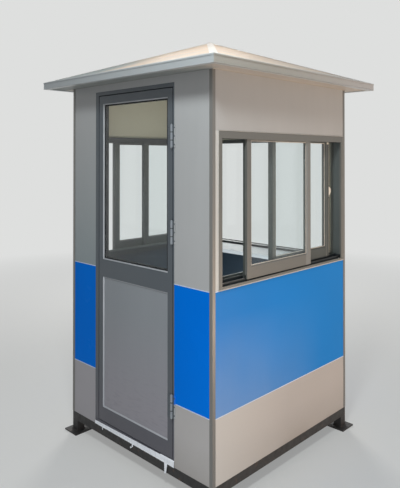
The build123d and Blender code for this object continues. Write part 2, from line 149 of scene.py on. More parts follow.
# %% The common coat
def coat(name, colour, drift=0.05, roughness=0.4, gloss_change=0.06, scale=3.0, skin=350.0,
         skin_depth=0.00004, stretch=(1, 1, 1), metallic=0.0, specular=0.5):
    """A painted or rolled surface with a drift in tone, a change in gloss and a fine skin."""
    finish = bpy.data.materials.new(name)
    finish.use_nodes = True
    shader = finish.node_tree.nodes["Principled BSDF"]
    shader.inputs["Metallic"].default_value = metallic
    shader.inputs["Specular IOR Level"].default_value = specular
    slow = cloud(finish, scale, stretch)
    share = spread(finish, slow, 0.0, 1.0)
    feed(finish, "Base Color", mixed(finish, share, stronger(colour, 1 - drift), stronger(colour, 1 + drift)))
    patchy = cloud(finish, scale * 4, stretch, 4.0)
    feed(finish, "Roughness", spread(finish, patchy, roughness - gloss_change, roughness + gloss_change))
    bump = add_node(finish, "ShaderNodeBump",
                    {"Height": cloud(finish, skin, stretch, 2.0), "Strength": 0.6, "Distance": skin_depth})
    feed(finish, "Normal", bump.outputs["Normal"])
    return finish


def overlay(finish, share, colour):
    """Lays a second colour over a finish where the share is high."""
    socket = finish.node_tree.nodes["Principled BSDF"].inputs["Base Color"]
    under = socket.links[0].from_socket
    feed(finish, "Base Color", mixed(finish, share, under, colour))


def along_share(finish, axis, low, high):
    """Goes from 0 at low to 1 at high along X, Y or Z, and stays there beyond them."""
    parts = add_node(finish, "ShaderNodeSeparateXYZ", {"Vector": place(finish)})
    return spread(finish, parts.outputs[axis], 0.0, 1.0, low, high)


def times(finish, first, second):
    """The product of two shares."""
    made = add_node(finish, "ShaderNodeMath", {0: first, 1: second}, operation="MULTIPLY")
    return made.outputs["Value"]


def between(finish, axis, low, high, soft=0.0006):
    """1 between two places along one axis."""
    return times(finish, along_share(finish, axis, low, low + soft),
                 along_share(finish, axis, high, high - soft))


def patch(finish, colour, share=None, **ramps):
    """Lays a second colour where the share and all ramps, low to high on X, Y or Z, are high."""
    for axis, (low, high) in ramps.items():
        ramp = along_share(finish, axis, low, high)
        share = ramp if share is None else times(finish, share, ramp)
    overlay(finish, share, colour)


# %% [markdown]
# ## Grey walls
# The walls are clad in composite sheet: satin grey above and below, and a glossy blue band between
# them. Hands and mops leave faint upright streaks, and dust settles along the foot. Some parts get a
# second colour: the strip left of the door is darker, most of all towards the bottom, as painted
# shade, the narrow strip beside the right window is paler, and the foot by the near corner is paler
# as painted light. Such a `patch` lies where its ramps along X, Y and Z are all high.

# %% Grey sheets
side_face = (0.5970, 0.5975)        # turns to 1 just under the skin of the right window face
front_face = (-0.6100, -0.6105)     # the same on the door face
left_strip = {"X": (-0.20, -0.30), "Y": front_face}
beside_window_z = (1.063, 1.844)    # from the blue band up to the window's head

grey_sheet = coat("grey_sheet", tone(170, 171, 171), drift=0.03, roughness=0.42, scale=1.6)
mop_marks = spread(grey_sheet, cloud(grey_sheet, 5.0, (3, 3, 0.4)), 0.0, 0.08)
overlay(grey_sheet, mop_marks, tone(140, 144, 144))
patch(grey_sheet, tone(188, 191, 190), between(grey_sheet, "Z", *beside_window_z, 0.002),
      X=side_face, Y=(-0.574, -0.576))
# Painted shade: the strip left of the door, darker towards the bottom.
patch(grey_sheet, tone(134, 144, 147), **left_strip, Z=(1.9, 1.06))

foot_sheet = coat("foot_sheet", tone(171, 168, 166), drift=0.04, roughness=0.5, scale=2.2)
grime = spread(foot_sheet, cloud(foot_sheet, 3.0, (1, 1, 1.5), 6.0), 0.1, 0.4)
patch(foot_sheet, tone(134, 127, 118), grime, Z=(0.30, 0.13))
# Painted shade: the foot of the strip left of the door is darker.
patch(foot_sheet, tone(160, 157, 161), **left_strip)
# Painted light: the foot by the near corner is paler.
patch(foot_sheet, tone(188, 187, 184), X=side_face, Y=(0.0, -0.60))
print("grey sheets", grey_sheet.name, foot_sheet.name)

# %% [markdown]
# ## Blue band, corner trims and lining
# The band is glossy on the door face. On the window faces its blue is paler, as painted reflection,
# and paler still in soft blotches low down by the near corner, as painted light. The corner trims are
# anodised angles with their grain drawn out upwards. Inside, the lining sheet is khaki down to the top
# of the band and a dark teal below it, partly its own colour and partly painted shade.

# %% Blue, trim and lining finishes
band_blue = tone(0, 112, 218)
blue_sheet = coat("blue_sheet", band_blue, drift=0.05, roughness=0.24, scale=1.4, specular=0.02)

# Painted reflection: the window faces' blue is paler than the door face's.
painted_sheen_blue = coat("painted_sheen_blue", tone(28, 124, 204), drift=0.05, roughness=0.34, scale=1.4, specular=0.1)
# Painted light: paler blotches low down by the near corner.
sheen_blotches = spread(painted_sheen_blue, cloud(painted_sheen_blue, 3.0, (1, 1, 0.6), 5.0), 0.35, 0.6)
patch(painted_sheen_blue, tone(146, 166, 196), sheen_blotches, Z=(0.92, 0.46), Y=(0.35, -0.6))

corner_metal = coat("corner_metal", tone(120, 119, 116), drift=0.06, roughness=0.36, scale=6.0,
                    stretch=(4, 4, 0.15), skin=600.0, metallic=0.3)

lining = coat("lining", tone(172, 174, 160), drift=0.04, roughness=0.5, scale=2.0)
# Painted shade, in part: the lining is a dark teal below the top of the band.
patch(lining, tone(42, 55, 66), Z=(1.066, 1.060))
print("wall finishes", [made.name for made in (blue_sheet, painted_sheen_blue, corner_metal, lining)])

# %% [markdown]
# ## Base and vinyl
# The base is dark painted tube that has stood outdoors, so it shows dull patches and a little rust.
# Inside lies grey vinyl with pale flecks.

# %% Base and vinyl finishes
base_paint = coat("base_paint", tone(36, 35, 35), drift=0.16, roughness=0.6, gloss_change=0.12, scale=9.0,
                  skin=220.0, skin_depth=0.0002)
rust = spread(base_paint, cloud(base_paint, 30.0, (1, 1, 1), 8.0), 0.0, 0.6, 0.60, 0.74)
overlay(base_paint, rust, tone(84, 60, 46))

vinyl = coat("vinyl", tone(104, 104, 102), drift=0.07, roughness=0.6, scale=4.0, skin=160.0,
             skin_depth=0.0002)
flecks = spread(vinyl, cloud(vinyl, 260.0, (1, 1, 1), 2.0), 0.0, 0.5, 0.60, 0.68)
overlay(vinyl, flecks, tone(150, 150, 146))
print("base and vinyl", base_paint.name, vinyl.name)

# %% [markdown]
# ## Roof
# The roof sheet is off-white with warm level streaks, greyer along the eaves, and dull and cooler on
# its front left corner; all three are painted reflection. The fascia round it is a satin grey, warmer
# and darker on its right side and paler towards that side's far end, as painted light and shade, and
# the soffit under it a plain grey that is darker over the door, as painted shade.

# %% Roof, fascia and soffit finishes
roof_paint = coat("roof_paint", tone(222, 211, 198), drift=0.02, roughness=0.5, scale=1.5, specular=0.15)
# Painted reflection: warm level streaks.
sheen_streaks = spread(roof_paint, cloud(roof_paint, 1.6, (0.5, 0.5, 34), 4.0), 0.0, 0.7, 0.4, 0.65)
overlay(roof_paint, sheen_streaks, tone(246, 216, 186))
# Painted reflection: grey blotches along the eaves.
eave_grey_reflection = spread(roof_paint, cloud(roof_paint, 5.0, (1, 1, 1), 6.0), 0.2, 0.7)
patch(roof_paint, tone(196, 198, 196), eave_grey_reflection, Z=(2.30, 2.18))
# Painted reflection: a dull, cooler front left corner.
patch(roof_paint, tone(160, 170, 169), X=(-0.02, -0.28), Y=(-0.05, -0.40), Z=(2.36, 2.28))
cap_paint = coat("cap_paint", tone(232, 230, 226), drift=0.02, roughness=0.4, scale=5.0, specular=0.3)

fascia_paint = coat("fascia_paint", tone(166, 171, 173), drift=0.04, roughness=0.36, scale=2.0)
fascia_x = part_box("fascia")[1].x
right_side = (fascia_x - 0.0015, fascia_x - 0.0005)
# Painted light and shade: the right side is warmer and darker, and paler towards its far end.
patch(fascia_paint, tone(154, 155, 150), X=right_side)
patch(fascia_paint, tone(178, 179, 180), X=right_side, Y=(-0.30, 0.70))

soffit_paint = coat("soffit_paint", tone(172, 166, 158), drift=0.05, roughness=0.55, scale=2.0)
# Painted shade: the soffit is darker over the door.
patch(soffit_paint, tone(138, 142, 140), Y=(-0.612, -0.626), X=(0.66, 0.60))
print("roof finishes", [made.name for made in (roof_paint, cap_paint, fascia_paint, soffit_paint)])

# %% [markdown]
# ## Door
# Door and windows are made of powder coated aluminium, dark on the door and warmer grey on the
# windows. Powder coat has a fine orange peel skin, so its bump is coarser than that of a sheet. The
# beads round the panes are bare metal. Shoes scuff the panel low in the door, and the lowest part of
# door and panel is paler.

# %% Door finishes
def powder_coat(name, colour):
    """The coat of an aluminium profile."""
    return coat(name, colour, drift=0.04, roughness=0.42, scale=3.0, skin=900.0, skin_depth=0.00006)


door_grey = tone(76, 83, 89)
door_paint = powder_coat("door_paint", door_grey)
patch(door_paint, tone(84, 84, 91), Z=(0.60, 0.20))
kick_sheet = coat("kick_sheet", tone(136, 141, 146), drift=0.04, roughness=0.4, scale=2.0,
                  stretch=(3, 3, 0.5), metallic=0.15)
patch(kick_sheet, tone(145, 143, 150), Z=(0.85, 0.35))
scuffs = spread(kick_sheet, cloud(kick_sheet, 26.0, (0.6, 1, 3), 8.0), 0.0, 0.22, 0.5, 0.7)
patch(kick_sheet, tone(100, 98, 98), scuffs, Z=(0.62, 0.26))
bead_metal = coat("bead_metal", tone(170, 173, 177), drift=0.05, roughness=0.45, scale=8.0, metallic=0.1,
                  specular=0.3)
print("door finishes", door_paint.name, kick_sheet.name, bead_metal.name)

# %% [markdown]
# ## Windows
# The paint is darker on what lies further in a sliding window, and darkest in the tracks of sill and
# head, and the back window's frame is darker on its room side; all of this is painted shade. The far
# stile of the outer sash is paler, as painted light. Frames and sashes each get a paint of their own,
# because each has its painted shade in another place.

# %% Window finishes
def deep_share(finish, reach):
    """1 in the depth of the side windows, nearer to the middle of the booth than reach."""
    return times(finish, along_share(finish, "X", reach + 0.002, reach),
                 along_share(finish, "X", -reach - 0.002, -reach))


window_grey, track_shade_grey = tone(101, 102, 99), tone(46, 51, 54)
inner_lane, both_lanes = 0.580, 0.595
sill_track, head_track = (1.096, 1.092), (1.802, 1.806)

window_paint = powder_coat("window_paint", window_grey)
sash_paint_and_shade = powder_coat("sash_paint_and_shade", window_grey)
# Painted shade: the sashes darker on what lies further in.
overlay(sash_paint_and_shade, deep_share(sash_paint_and_shade, inner_lane), tone(66, 71, 69))
stile_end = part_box("sash_outer_right")[1].y
# Painted light: the far stile of the outer sash is paler on its outer face.
far_stile = between(sash_paint_and_shade, "Y", stile_end - 0.050, stile_end + 0.001)
patch(sash_paint_and_shade, tone(117, 119, 118), far_stile, X=(0.586, 0.590))

frame_paint_and_shade = powder_coat("frame_paint_and_shade", window_grey)
# Painted shade: the frame darker further in, and darkest in the tracks of sill and head.
overlay(frame_paint_and_shade, deep_share(frame_paint_and_shade, inner_lane), tone(84, 91, 90))
for track in (sill_track, head_track):
    patch(frame_paint_and_shade, track_shade_grey, deep_share(frame_paint_and_shade, both_lanes), Z=track)
back_frame_paint_and_shade = powder_coat("back_frame_paint_and_shade", window_grey)
# Painted shade: the back frame is darker on its room side.
patch(back_frame_paint_and_shade, tone(62, 66, 68), Y=(0.6195, 0.6180))
print("window finishes", [made.name for made in (window_paint, sash_paint_and_shade, frame_paint_and_shade, back_frame_paint_and_shade)])

# %% [markdown]
# ## Hinges
# The hinges were painted over with what they are screwed to: one wing with the door, and the other
# with the wall, grey or blue by its height. The knuckles in front of them are worn to bare metal, and
# a dark line shows where two knuckles meet.

# %% Hinge finish
hinge_steel = coat("hinge_steel", door_grey, drift=0.06, roughness=0.4, scale=30.0,
                   stretch=(1, 1, 4), metallic=0.1, skin=1200.0)
on_wall, knuckles, joint_half = (0.3305, 0.3315), (-0.6236, -0.6244), 0.003
patch(hinge_steel, tone(168, 170, 170), X=on_wall)
patch(hinge_steel, band_blue, between(hinge_steel, "Z", 0.443, 1.063, 0.002), X=on_wall)
patch(hinge_steel, tone(132, 138, 144), Y=knuckles)
for hinge in (1, 2, 3):
    low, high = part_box(f"hinge_{hinge}_frame")
    third = (high.z - low.z) / 3
    for joint in (low.z + third, high.z - third):
        gap = between(hinge_steel, "Z", joint - joint_half, joint + joint_half)
        patch(hinge_steel, tone(58, 62, 66), gap, Y=knuckles)
print("hinge finish", hinge_steel.name)

# %% [markdown]
# ## Small parts
# What is left is small, so a plain coat is enough, with the gloss of its stuff: metal for the screws
# and joint strips, dull rubber, waxy silicone and sealant, matt brush pile, and a shiny film with
# creases. The worktop is pale laminate, and the band on its edge is whiter.

# %% Finishes of the small parts
screw_steel = coat("screw_steel", tone(92, 96, 102), drift=0.1, roughness=0.3, scale=60.0, metallic=0.5)
joint_metal = coat("joint_metal", tone(200, 213, 230), drift=0.05, roughness=0.32, scale=8.0, metallic=0.1)
latch_plastic = coat("latch_plastic", tone(228, 226, 218), drift=0.02, roughness=0.35, scale=20.0)
laminate = coat("laminate", tone(178, 182, 187), drift=0.02, roughness=0.55, scale=3.0, specular=0.05)
edge_band = coat("edge_band", tone(232, 236, 240), drift=0.02, roughness=0.5, scale=3.0, specular=0.1)
rubber = coat("rubber", tone(40, 41, 42), drift=0.12, roughness=0.65, scale=30.0, skin=900.0,
              specular=0.0)
silicone = coat("silicone", tone(190, 187, 180), drift=0.05, roughness=0.4, scale=25.0, skin=300.0)
brush_pile = coat("brush_pile", tone(196, 194, 186), drift=0.10, roughness=0.8, scale=40.0,
                  stretch=(1, 1, 20), skin=1500.0, skin_depth=0.0003)
sealant = coat("sealant", tone(172, 171, 166), drift=0.05, roughness=0.45, scale=25.0, skin=120.0,
               skin_depth=0.0003)
film_white = coat("film_white", tone(240, 243, 248), drift=0.05, roughness=0.28, scale=18.0, skin=60.0,
                  skin_depth=0.0006)
print("finishes so far", len(bpy.data.materials))

# %% [markdown]
# ## Glass
# A pane is a clear shader with a faint green cast. Lamps shine straight through it by way of the
# shadow ray, so that the room behind it is lit, and a trace of smears changes its gloss.

# %% Glass
def clear_glass(name, cast):
    """Window glass of one cast that lets lamps light what is behind it."""
    finish = bpy.data.materials.new(name)
    finish.use_nodes = True
    shader = finish.node_tree.nodes["Principled BSDF"]
    shader.inputs["Transmission Weight"].default_value = 1.0
    shader.inputs["IOR"].default_value = 1.3
    shader.inputs["Base Color"].default_value = cast
    smears = cloud(finish, 6.0, (1, 1, 0.4), 5.0)
    feed(finish, "Roughness", spread(finish, smears, 0.0, 0.03))
    ray = add_node(finish, "ShaderNodeLightPath", {})
    through = add_node(finish, "ShaderNodeBsdfTransparent", {"Color": cast})
    blend = add_node(finish, "ShaderNodeMixShader",
                     {0: ray.outputs["Is Shadow Ray"], 1: shader.outputs["BSDF"],
                      2: through.outputs["BSDF"]})
    output = finish.node_tree.nodes["Material Output"]
    finish.node_tree.links.new(blend.outputs["Shader"], output.inputs["Surface"])
    return finish


pane_glass = clear_glass("pane_glass", tone(247, 250, 250))
print("glass", pane_glass.name)

# %% [markdown]
# ## Dress the imported model
# The record says which material slot each node belongs to. Each slot gets one finish, and each node
# takes its slot's. A few nodes have one of their own instead: the band on the two window faces takes
# the blue with painted reflection, and the windows' frames and sashes take the paints with painted
# shade in their depth. The threshold is painted as the door frame is.

# %% Finishes on the imported nodes
slot_finishes = {
    "cladding_grey": grey_sheet, "cladding_foot": foot_sheet, "cladding_blue": blue_sheet,
    "corner_trim": corner_metal, "wall_lining": lining, "base_steel": base_paint,
    "door_metal": door_paint, "kick_panel": kick_sheet, "bead": bead_metal, "glass": pane_glass,
    "hinge": hinge_steel, "window_metal": window_paint, "latch": latch_plastic,
    "ceiling": soffit_paint, "worktop": laminate, "floor": vinyl, "threshold": door_paint,
    "roof": roof_paint, "fascia": fascia_paint,
}
own_finishes = {"window_frame_back": back_frame_paint_and_shade}
for side in ("right", "left"):
    own_finishes[f"clad_{side}_band"] = painted_sheen_blue
    own_finishes[f"window_frame_{side}"] = frame_paint_and_shade
    own_finishes[f"sash_outer_{side}"] = own_finishes[f"sash_inner_{side}"] = sash_paint_and_shade
for part in frame["record"]["subparts"]:
    node = part["node"]
    mesh = frame["nodes"][node].data
    mesh.materials.clear()
    mesh.materials.append(own_finishes.get(node, slot_finishes[part["material_slot"]]))

# %% [markdown]
# ## How the small pieces are made
# Each starts as a primitive of its own size in its own place, and is then worked in edit mode.
# `take` selects a piece and `pick` its edges or faces by a test, as a hand would by clicking. `hair`
# is how near two places must be to count as the same.

# %% Working in edit mode
hair = 1e-5


def middle(item):
    """The middle of an edge or a face."""
    return sum((vert.co for vert in item.verts), Vector()) / len(item.verts)


def pick(kind, test):
    """Selects the edges or faces of the piece in edit mode that pass a test."""
    bpy.ops.mesh.select_mode(type=kind)
    bpy.ops.mesh.select_all(action="DESELECT")
    mesh = bmesh.from_edit_mesh(bpy.context.object.data)
    for item in (mesh.edges if kind == "EDGE" else mesh.faces):
        if test(item):
            item.select_set(True)
    bmesh.update_edit_mesh(bpy.context.object.data)


def take(*pieces):
    """Selects these pieces and no others, and makes the first one active."""
    bpy.ops.object.select_all(action="DESELECT")
    for piece in pieces:
        piece.select_set(True)
    if pieces:
        bpy.context.view_layer.objects.active = pieces[0]


def edit(on=True):
    """Goes into edit mode, or back out of it."""
    bpy.ops.object.mode_set(mode="EDIT" if on else "OBJECT")


def fix_place():
    """Puts the place, turn and size of the piece into its mesh."""
    bpy.ops.object.transform_apply(location=True, rotation=True, scale=True)


def block(name, low, high):
    """A cube between two corners, as a start for a strip or a bar."""
    low, high = Vector(low), Vector(high)
    take()
    bpy.ops.mesh.primitive_cube_add(size=1, location=(low + high) / 2)
    bpy.context.object.name = name
    bpy.context.object.scale = high - low
    fix_place()
    return bpy.context.object


def soften(piece, width, test=lambda edge: True, segments=2):
    """Bevels the edges that pass a test."""
    take(piece)
    edit()
    pick("EDGE", test)
    bpy.ops.mesh.bevel(offset=width, segments=segments, affect="EDGES")
    edit(False)


def thicken(piece, thickness, offset):
    """Gives an open sheet its thickness."""
    sheet = piece.modifiers.new("sheet", "SOLIDIFY")
    sheet.thickness, sheet.offset = thickness, offset
    bpy.ops.object.modifier_apply(modifier="sheet")


# %% [markdown]
# ## Rings, copies and joining
# Seals, gaskets, welds and hems are all four sided rings, and many fittings come in mirrored sets, so
# one helper makes a ring and two more make the copies. `settle` gives the finished piece its material
# and says which part of the booth carries it.

# %% Rings, copies and joining
def ring(name, centre, wide, high, facing, face, depth, soft):
    """A four sided frame: a plane, inset, its middle taken out, thickened and softened."""
    turns = {"x": (0, radians(90), 0), "y": (radians(90), 0, 0), "z": (0, 0, 0)}
    take()
    bpy.ops.mesh.primitive_plane_add(size=1, location=centre, rotation=turns[facing])
    piece = bpy.context.object
    piece.name = name
    piece.scale = (high, wide, 1) if facing == "x" else (wide, high, 1)
    fix_place()
    away = {"x": (depth, 0, 0), "y": (0, -depth, 0), "z": (0, 0, depth)}[facing]
    edit()
    bpy.ops.mesh.inset(thickness=face)
    bpy.ops.mesh.delete(type="FACE")
    bpy.ops.mesh.select_all(action="SELECT")
    bpy.ops.mesh.extrude_region_move(TRANSFORM_OT_translate={"value": away})
    bpy.ops.mesh.select_all(action="SELECT")
    bpy.ops.mesh.normals_make_consistent(inside=False)
    front = Vector(centre) + Vector(away)
    axis = "xyz".index(facing)
    pick("EDGE", lambda edge: abs(middle(edge)[axis] - front[axis]) < hair and edge.is_manifold
         and edge.calc_face_angle() > 0.5)
    bpy.ops.mesh.bevel(offset=soft, segments=2, affect="EDGES")
    edit(False)
    return piece


def twin(piece, name, shift=(0, 0, 0), flip=(1, 1, 1)):
    """A copy with its own mesh, mirrored and moved, and turned right side out again."""
    take(piece)
    bpy.ops.object.duplicate()
    copied = bpy.context.object
    copied.name = name
    copied.scale = flip
    copied.location = shift
    fix_place()
    edit()
    bpy.ops.mesh.select_all(action="SELECT")
    bpy.ops.mesh.normals_make_consistent(inside=False)
    edit(False)
    return copied


def at_each_corner(piece, name):
    """Mirrors a piece to the other three corners and gives back all four."""
    flips = ((-1, 1, 1), (1, -1, 1), (-1, -1, 1))
    others = [twin(piece, f"{name}_{index}", flip=flip) for index, flip in enumerate(flips, start=2)]
    piece.name = f"{name}_1"
    return [piece] + others


def settle(piece, finish, body="booth"):
    """Gives the finished piece its material and the body that carries it, mostly the booth."""
    piece.data.materials.clear()
    piece.data.materials.append(finish)
    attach(piece, body)
    print(piece.name, len(piece.data.polygons), "faces on", body)


def join(pieces, name):
    """Joins several small pieces into one."""
    take(*pieces)
    bpy.ops.object.join()
    bpy.context.object.name = name
    return bpy.context.object


# %% [markdown]
# ## Measures from the model
# The places below come from the nodes' own boxes, so the fittings stay on what carries them.

# %% Measures
sheet_low, sheet_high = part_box("clad_right_band")
wall_x, band_low, band_high = sheet_high.x, sheet_low.z, sheet_high.z
wall_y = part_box("clad_back_band")[1].y
trim_low, trim_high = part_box("corner_trim_front_right")
eave_low, eave_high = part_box("fascia")
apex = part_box("roof")[1].z
frame_low, frame_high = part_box("door_frame")
sill_low, sill_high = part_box("threshold")
leaf_low, leaf_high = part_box("door_leaf")
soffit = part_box("ceiling")[0].z
sides = (("right", 1), ("left", -1))
print("walls", wall_x, wall_y, "eave", eave_high.z, "apex", apex)

# %% [markdown]
# ## Joint strips
# Where a blue sheet meets a grey one the edges slip into an aluminium joint strip. Only its bright
# flange shows: a thin flat bar with eased edges, cut off at the corner trims and the door frame.

# %% Joint strips
strip_h, strip_t = 0.0045, 0.0012
trim_end_x, trim_end_y = trim_low.x, -trim_high.y
runs = (("left", -trim_end_x, frame_low.x), ("right", frame_high.x, trim_end_x))
for level_name, level in (("low", band_low), ("high", band_high - strip_h)):
    made = []
    for side, x0, x1 in runs:
        made.append(block("bar", (x0, -wall_y - strip_t, level), (x1, -wall_y, level + strip_h)))
    made.append(block("bar", (-trim_end_x, wall_y, level), (trim_end_x, wall_y + strip_t, level + strip_h)))
    for s in (1, -1):
        x0, x1 = sorted((s * wall_x, s * (wall_x + strip_t)))
        made.append(block("bar", (x0, -trim_end_y, level), (x1, trim_end_y, level + strip_h)))
    strips = join(made, f"joint_strips_{level_name}")
    soften(strips, 0.0004, segments=1)
    settle(strips, joint_metal)

# %% [markdown]
# ## Roof trims
# Four folded caps close the hips and a small pyramid covers their tops. Rain leaves the roof over a
# drip edge, a sheet folded down over the fascia. Each corner of the fascia has a cover angle, and its
# lower edge is rolled into a hem. The hip cap is a flat strip with a raised middle line, laid along
# the hip and cut off square to the eaves.

# %% Hip caps
roof_corner = Vector((eave_high.x, eave_low.y, eave_high.z))
roof_peak = Vector((0, 0, apex))
hip = roof_peak - roof_corner
cap_w, cap_fold, cap_lift, cap_spare = 0.040, 0.0048, 0.0008, 0.06
sheet_t, drip_out = 0.0012, 0.0016

take()
bpy.ops.mesh.primitive_plane_add(size=1)
hip_cap = bpy.context.object
hip_cap.scale = (hip.length + cap_spare, cap_w, 1)
fix_place()
edit()
bpy.ops.mesh.select_all(action="SELECT")
bpy.ops.mesh.subdivide(number_cuts=1)
pick("EDGE", lambda edge: abs(edge.verts[0].co.y) + abs(edge.verts[1].co.y) < hair)
bpy.ops.transform.translate(value=(0, 0, cap_fold))
edit(False)
hip_cap.rotation_mode = "QUATERNION"
along = hip.normalized()
across = Vector((0, 0, 1)).cross(along).normalized()
hip_cap.rotation_quaternion = Matrix((along, across, along.cross(across))).transposed().to_quaternion()
hip_cap.location = (roof_corner + roof_peak) / 2 + Vector((0, 0, cap_lift - cap_fold))
fix_place()
edit()
for edge_at, outwards in (((eave_high.x + drip_out, 0, 0), (1, 0, 0)),
                          ((0, eave_low.y - drip_out, 0), (0, -1, 0)),
                          ((0, 0, 0), (-1, 0, 0)), ((0, 0, 0), (0, 1, 0))):
    bpy.ops.mesh.select_all(action="SELECT")
    bpy.ops.mesh.bisect(plane_co=edge_at, plane_no=outwards, clear_outer=True)
edit(False)
thicken(hip_cap, sheet_t, 1)
for piece in at_each_corner(hip_cap, "hip_cap"):
    settle(piece, cap_paint)

# %% Apex cap
slope = (apex - eave_high.z) / eave_high.x
peak_half, peak_top, peak_h = 0.034, 0.006, 0.0165
take()
bpy.ops.mesh.primitive_cone_add(vertices=4, radius1=peak_half * 2 ** 0.5, radius2=peak_top, depth=peak_h,
                                location=(0, 0, apex - peak_half * slope + peak_h / 2),
                                rotation=(0, 0, radians(45)))
peak_cap = bpy.context.object
peak_cap.name = "apex_cap"
fix_place()
soften(peak_cap, 0.0015)
settle(peak_cap, cap_paint)

# %% Drip edge
fold_in, drip_h = 0.015, 0.006
take()
bpy.ops.mesh.primitive_plane_add(size=1, location=(0, 0, eave_high.z + cap_lift))
drip = bpy.context.object
drip.name = "drip_edge"
drip.scale = (2 * (eave_high.x + drip_out), 2 * (eave_high.y + drip_out), 1)
fix_place()
edit()
bpy.ops.mesh.inset(thickness=fold_in + drip_out)
bpy.ops.mesh.delete(type="FACE")
pick("EDGE", lambda edge: edge.is_boundary and abs(middle(edge).x) < eave_high.x - 0.002
     and abs(middle(edge).y) < eave_high.y - 0.002)
bpy.ops.transform.translate(value=(0, 0, (fold_in + drip_out) * slope))
pick("EDGE", lambda edge: edge.is_boundary and max(abs(middle(edge).x) - eave_high.x,
     abs(middle(edge).y) - eave_high.y) > drip_out / 2)
bpy.ops.mesh.extrude_region_move(TRANSFORM_OT_translate={"value": (0, 0, -drip_h)})
bpy.ops.mesh.select_all(action="SELECT")
bpy.ops.mesh.normals_make_consistent(inside=False)
edit(False)
thicken(drip, sheet_t, 1)
settle(drip, fascia_paint)

# %% Hem and corner covers
hem_out, hem_w, hem_h = 0.0018, 0.004, 0.005
hem = ring("fascia_hem", (0, 0, eave_low.z), 2 * (eave_high.x + hem_out), 2 * (eave_high.y + hem_out), "z",
           hem_w, hem_h, 0.0012)
settle(hem, fascia_paint)

cover_w = 0.016
corner = block("fascia_corner", (eave_high.x - cover_w, eave_low.y - sheet_t, eave_low.z + hem_w),
               (eave_high.x + sheet_t, eave_low.y + cover_w, eave_high.z - drip_h))
edit()
pick("FACE", lambda face: face.normal.x < -0.5 or face.normal.y > 0.5 or abs(face.normal.z) > 0.5)
bpy.ops.mesh.delete(type="FACE")
pick("EDGE", lambda edge: not edge.is_boundary)
bpy.ops.mesh.bevel(offset=0.001, segments=2, affect="EDGES")
edit(False)
thicken(corner, sheet_t, -1)
for piece in at_each_corner(corner, "fascia_corner"):
    settle(piece, fascia_paint)

# %% [markdown]
# ## Soffit
# The soffit sheets meet on mitres at the corners, each under a narrow cover strip, and a bead of
# sealant closes the corner between soffit and wall.

# %% Soffit strips and seal
mitre_long, mitre_w, mitre_t = 0.144, 0.014, 0.0015
fascia_return = 0.028       # the flange of the fascia under the soffit's edge
mitre = block("soffit_mitre", (-mitre_long / 2, -mitre_w / 2, soffit - mitre_t),
              (mitre_long / 2, mitre_w / 2, soffit))
soften(mitre, 0.001, lambda edge: middle(edge).z < soffit - mitre_t + hair, 1)
mitre.rotation_euler = (0, 0, radians(-45))
mitre.location = ((wall_x + eave_high.x - fascia_return) / 2, -(wall_y + eave_high.y - fascia_return) / 2, 0)
take(mitre)
fix_place()
for piece in at_each_corner(mitre, "soffit_mitre"):
    settle(piece, soffit_paint)

seal_out, seal_soft = 0.0035, 0.0025
wall_seal = ring("soffit_seal", (0, 0, soffit), 2 * (wall_x + seal_out), 2 * (wall_y + seal_out), "z",
                 seal_out - 0.0002, -seal_out, seal_soft)
settle(wall_seal, soffit_paint)

# %% [markdown]
# ## Window seals and gaskets
# Outside, a line of sealant runs round each window frame, and a wider one under the sill. Each pane
# is held by a gasket on both of its faces. The windows have black rubber inside, and outside a line
# of pale silicone, which draws a light edge round the glass. The door's pane has black rubber on both
# faces, and the inner one is a deep wedge that fills the rebate behind it. A gasket is the same
# rectangular frame each time, so one helper makes them all from the pane's own box.

# %% Sealant round the window frames
bead_spare, bead_w, bead_t, bead_soft = 0.009, 0.0042, 0.003, 0.0015
sill_in, sill_out, sill_under, sill_over = 0.001, 0.0065, 0.0015, 0.003
sill_past, sill_soft = 0.004, 0.0015


def frame_bead(side, facing, way):
    """Sealant round one window's frame; way is 1 or -1, outwards along the facing axis."""
    low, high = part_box(f"window_frame_{side}")
    z, tall = (low.z + high.z) / 2, high.z - low.z + bead_spare
    if facing == "x":
        at, wide, depth = (way * wall_x, (low.y + high.y) / 2, z), high.y - low.y, way * bead_t
    else:
        at, wide, depth = (0, way * wall_y, z), high.x - low.x, -way * bead_t
    bead = ring(f"window_seal_{side}", at, wide + bead_spare, tall, facing, bead_w, depth, bead_soft)
    settle(bead, sealant)


for side, s in sides:
    frame_bead(side, "x", s)
    low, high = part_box(f"window_frame_{side}")
    x0, x1 = sorted((s * (wall_x + sill_in), s * (wall_x + sill_out)))
    under = block(f"sill_seal_{side}", (x0, low.y - sill_past, low.z - sill_under),
                  (x1, high.y + sill_past, low.z + sill_over))
    soften(under, sill_soft, lambda edge: abs(middle(edge).x) > wall_x + sill_out - hair, 3)
    settle(under, sealant)
frame_bead("back", "y", 1)

# %% Gaskets
gasket_w, gasket_t, gasket_soft = 0.0035, 0.002, 0.0008
pane_bite, door_bite = 0.006, 0.008     # how far a pane's edge stands in its profile
wedge_t = 0.024


def gaskets(node, facing, way, outer_finish, bite=pane_bite, inner_t=gasket_t, body="booth"):
    """Two gaskets, one on each face of a pane; way is 1 or -1, outwards along the facing axis."""
    low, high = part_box(node)
    axis = "xyz".index(facing)
    wide = (high.y - low.y if facing == "x" else high.x - low.x) - 2 * bite
    tall = high.z - low.z - 2 * bite
    for name, to, thick, finish in (("outer", way, gasket_t, outer_finish), ("inner", -way, inner_t, rubber)):
        spot = (low + high) / 2
        spot[axis] = high[axis] if to > 0 else low[axis]
        depth = to * thick if facing == "x" else -to * thick
        made = ring(f"{node}_gasket_{name}", spot, wide, tall, facing, gasket_w, depth, gasket_soft)
        settle(made, finish, body=body)


